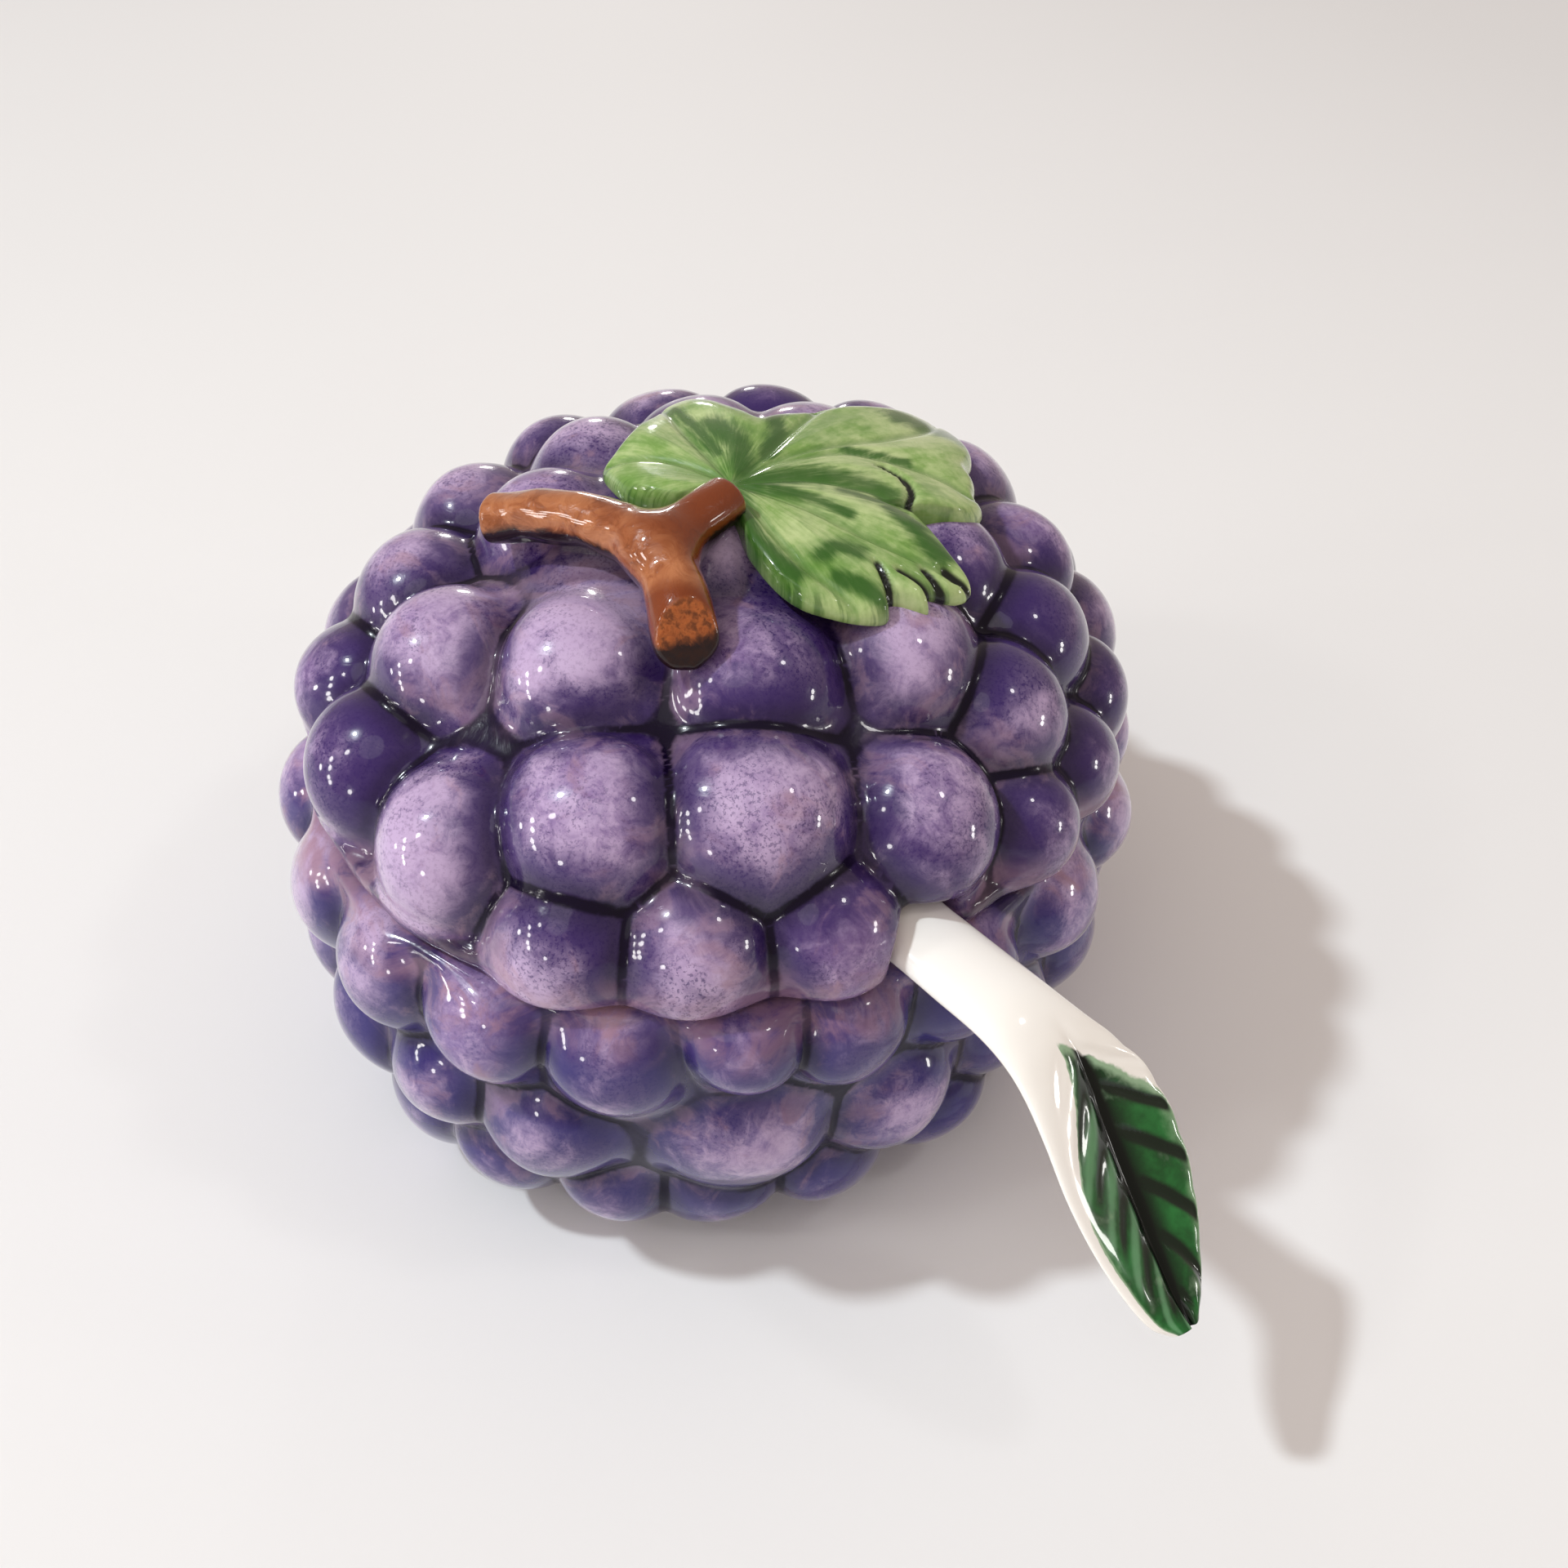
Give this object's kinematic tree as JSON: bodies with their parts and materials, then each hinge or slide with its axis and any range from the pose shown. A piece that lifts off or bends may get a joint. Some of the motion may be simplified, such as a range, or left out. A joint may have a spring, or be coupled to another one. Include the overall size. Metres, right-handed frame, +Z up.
{
  "type": "jam pot",
  "caption": "Oval glazed jam pot in the form of a bunch of grapes, with a lift-off lid held by its leaf and twig, and a leaf-handled spoon that leaves through a notch.",
  "frame": {"origin": "centre of the flat foot, on the surface that the pot stands on", "axes": "+Z up; the pot's long way runs along Y, with its front towards -Y; the spoon's handle leaves on the +X side"},
  "size_m": [0.1428, 0.1243, 0.0887],
  "materials": {
    "pot_glaze": "gloss blue-purple mottled glaze",
    "lid_glaze": "gloss mauve mottled glaze, darker in the grooves",
    "leaf_glaze": "gloss light green glaze with darker brush strokes",
    "twig_glaze": "gloss brown glaze, darker at the cut ends",
    "spoon_glaze": "gloss ivory glaze with a deep green leaf"
  },
  "bodies": {
    "pot": {"pot": "pot_glaze"},
    "lid": {"lid": "lid_glaze", "vine_leaf": "leaf_glaze", "twig": "twig_glaze"},
    "spoon": {"spoon": "spoon_glaze"}
  },
  "joints": [
    {"name": "lid_lift", "type": "slide", "parent": "pot", "child": "lid", "axis": [0, 0, 1], "range_m": [0, 0.12]},
    {"name": "spoon_lift", "type": "slide", "parent": "pot", "child": "spoon", "axis": [0, 0, 1], "range_m": [0, 0.06]}
  ],
  "couplings": [
    {"joint": "spoon_lift", "follows": "lid_lift", "ratio": 0.5}
  ]
}
